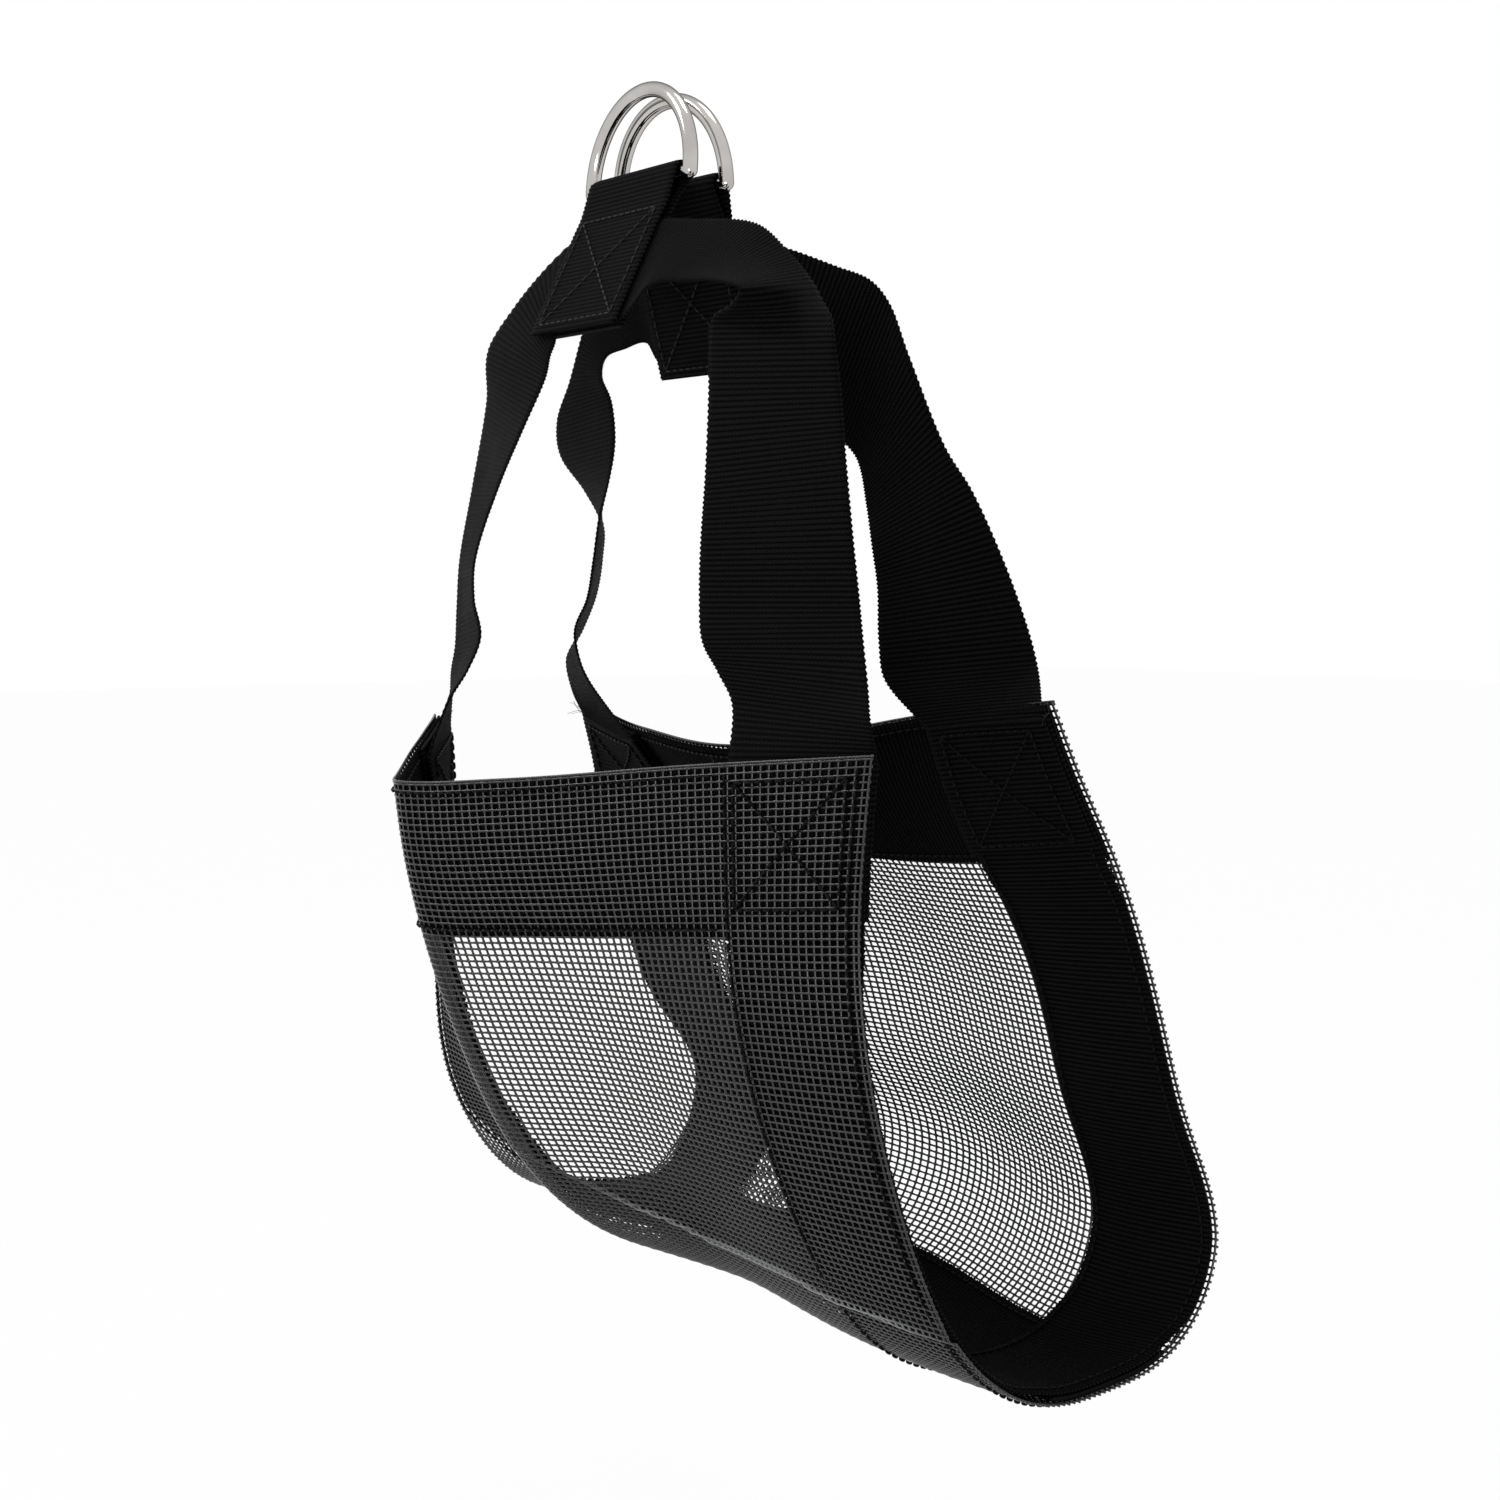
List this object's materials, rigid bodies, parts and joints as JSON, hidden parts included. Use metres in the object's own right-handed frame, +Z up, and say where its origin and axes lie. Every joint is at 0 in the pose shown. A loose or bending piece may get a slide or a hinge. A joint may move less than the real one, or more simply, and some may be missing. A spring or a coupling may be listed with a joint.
{
  "type": "mesh sling",
  "caption": "Open-ended mesh sling that hangs as a trough from webbing handles, each with a metal D-ring on a folded tab, for holding hay or weighing a small animal",
  "frame": {"origin": "level with the crown of the near D-ring, midway between the two rings, where they hang", "axes": "+X along the trough to its right end, +Y from the near lip to the far lip, +Z up"},
  "size_m": [0.2741, 0.1925, 0.407],
  "materials": {
    "coated_mesh": "satin coated yarn",
    "webbing": "ribbed woven",
    "thread": "matte",
    "ring_metal": "polished nickel"
  },
  "bodies": {
    "sling": {"mesh_panel": "coated_mesh", "near_lip_band": "webbing", "far_lip_band": "webbing", "bottom_band": "webbing", "right_end_band": "webbing", "left_end_band": "webbing", "near_lip_stitching": "thread", "far_lip_stitching": "thread", "bottom_stitching": "thread", "right_end_stitching": "thread", "left_end_stitching": "thread", "near_right_sewn_end": "webbing", "near_left_sewn_end": "webbing", "far_right_sewn_end": "webbing", "far_left_sewn_end": "webbing", "near_right_box_stitching": "thread", "near_left_box_stitching": "thread", "far_right_box_stitching": "thread", "far_left_box_stitching": "thread"},
    "near_handle": {"near_handle_strap": "webbing", "near_tab": "webbing", "near_tab_stitching": "thread"},
    "near_ring_body": {"near_ring": "ring_metal"},
    "far_handle": {"far_handle_strap": "webbing", "far_tab": "webbing", "far_tab_stitching": "thread"},
    "far_ring_body": {"far_ring": "ring_metal"}
  },
  "joints": [
    {"name": "near_handle_fold", "type": "hinge", "parent": "sling", "child": "near_handle", "pos_m": [0.03, -0.037, -0.188], "axis": [1, 0, 0], "range_deg": [0, 60]},
    {"name": "far_handle_fold", "type": "hinge", "parent": "sling", "child": "far_handle", "pos_m": [0.018, 0.029, -0.188], "axis": [1, 0, 0], "range_deg": [-60, 0]},
    {"name": "near_ring_hinge", "type": "hinge", "parent": "near_handle", "child": "near_ring_body", "pos_m": [0, -0.007, -0.03], "axis": [1, 0, 0], "range_deg": [0, 120]},
    {"name": "far_ring_hinge", "type": "hinge", "parent": "far_handle", "child": "far_ring_body", "pos_m": [0, 0.006, -0.0325], "axis": [0.9986, 0.0523, 0], "range_deg": [-120, 0]}
  ]
}
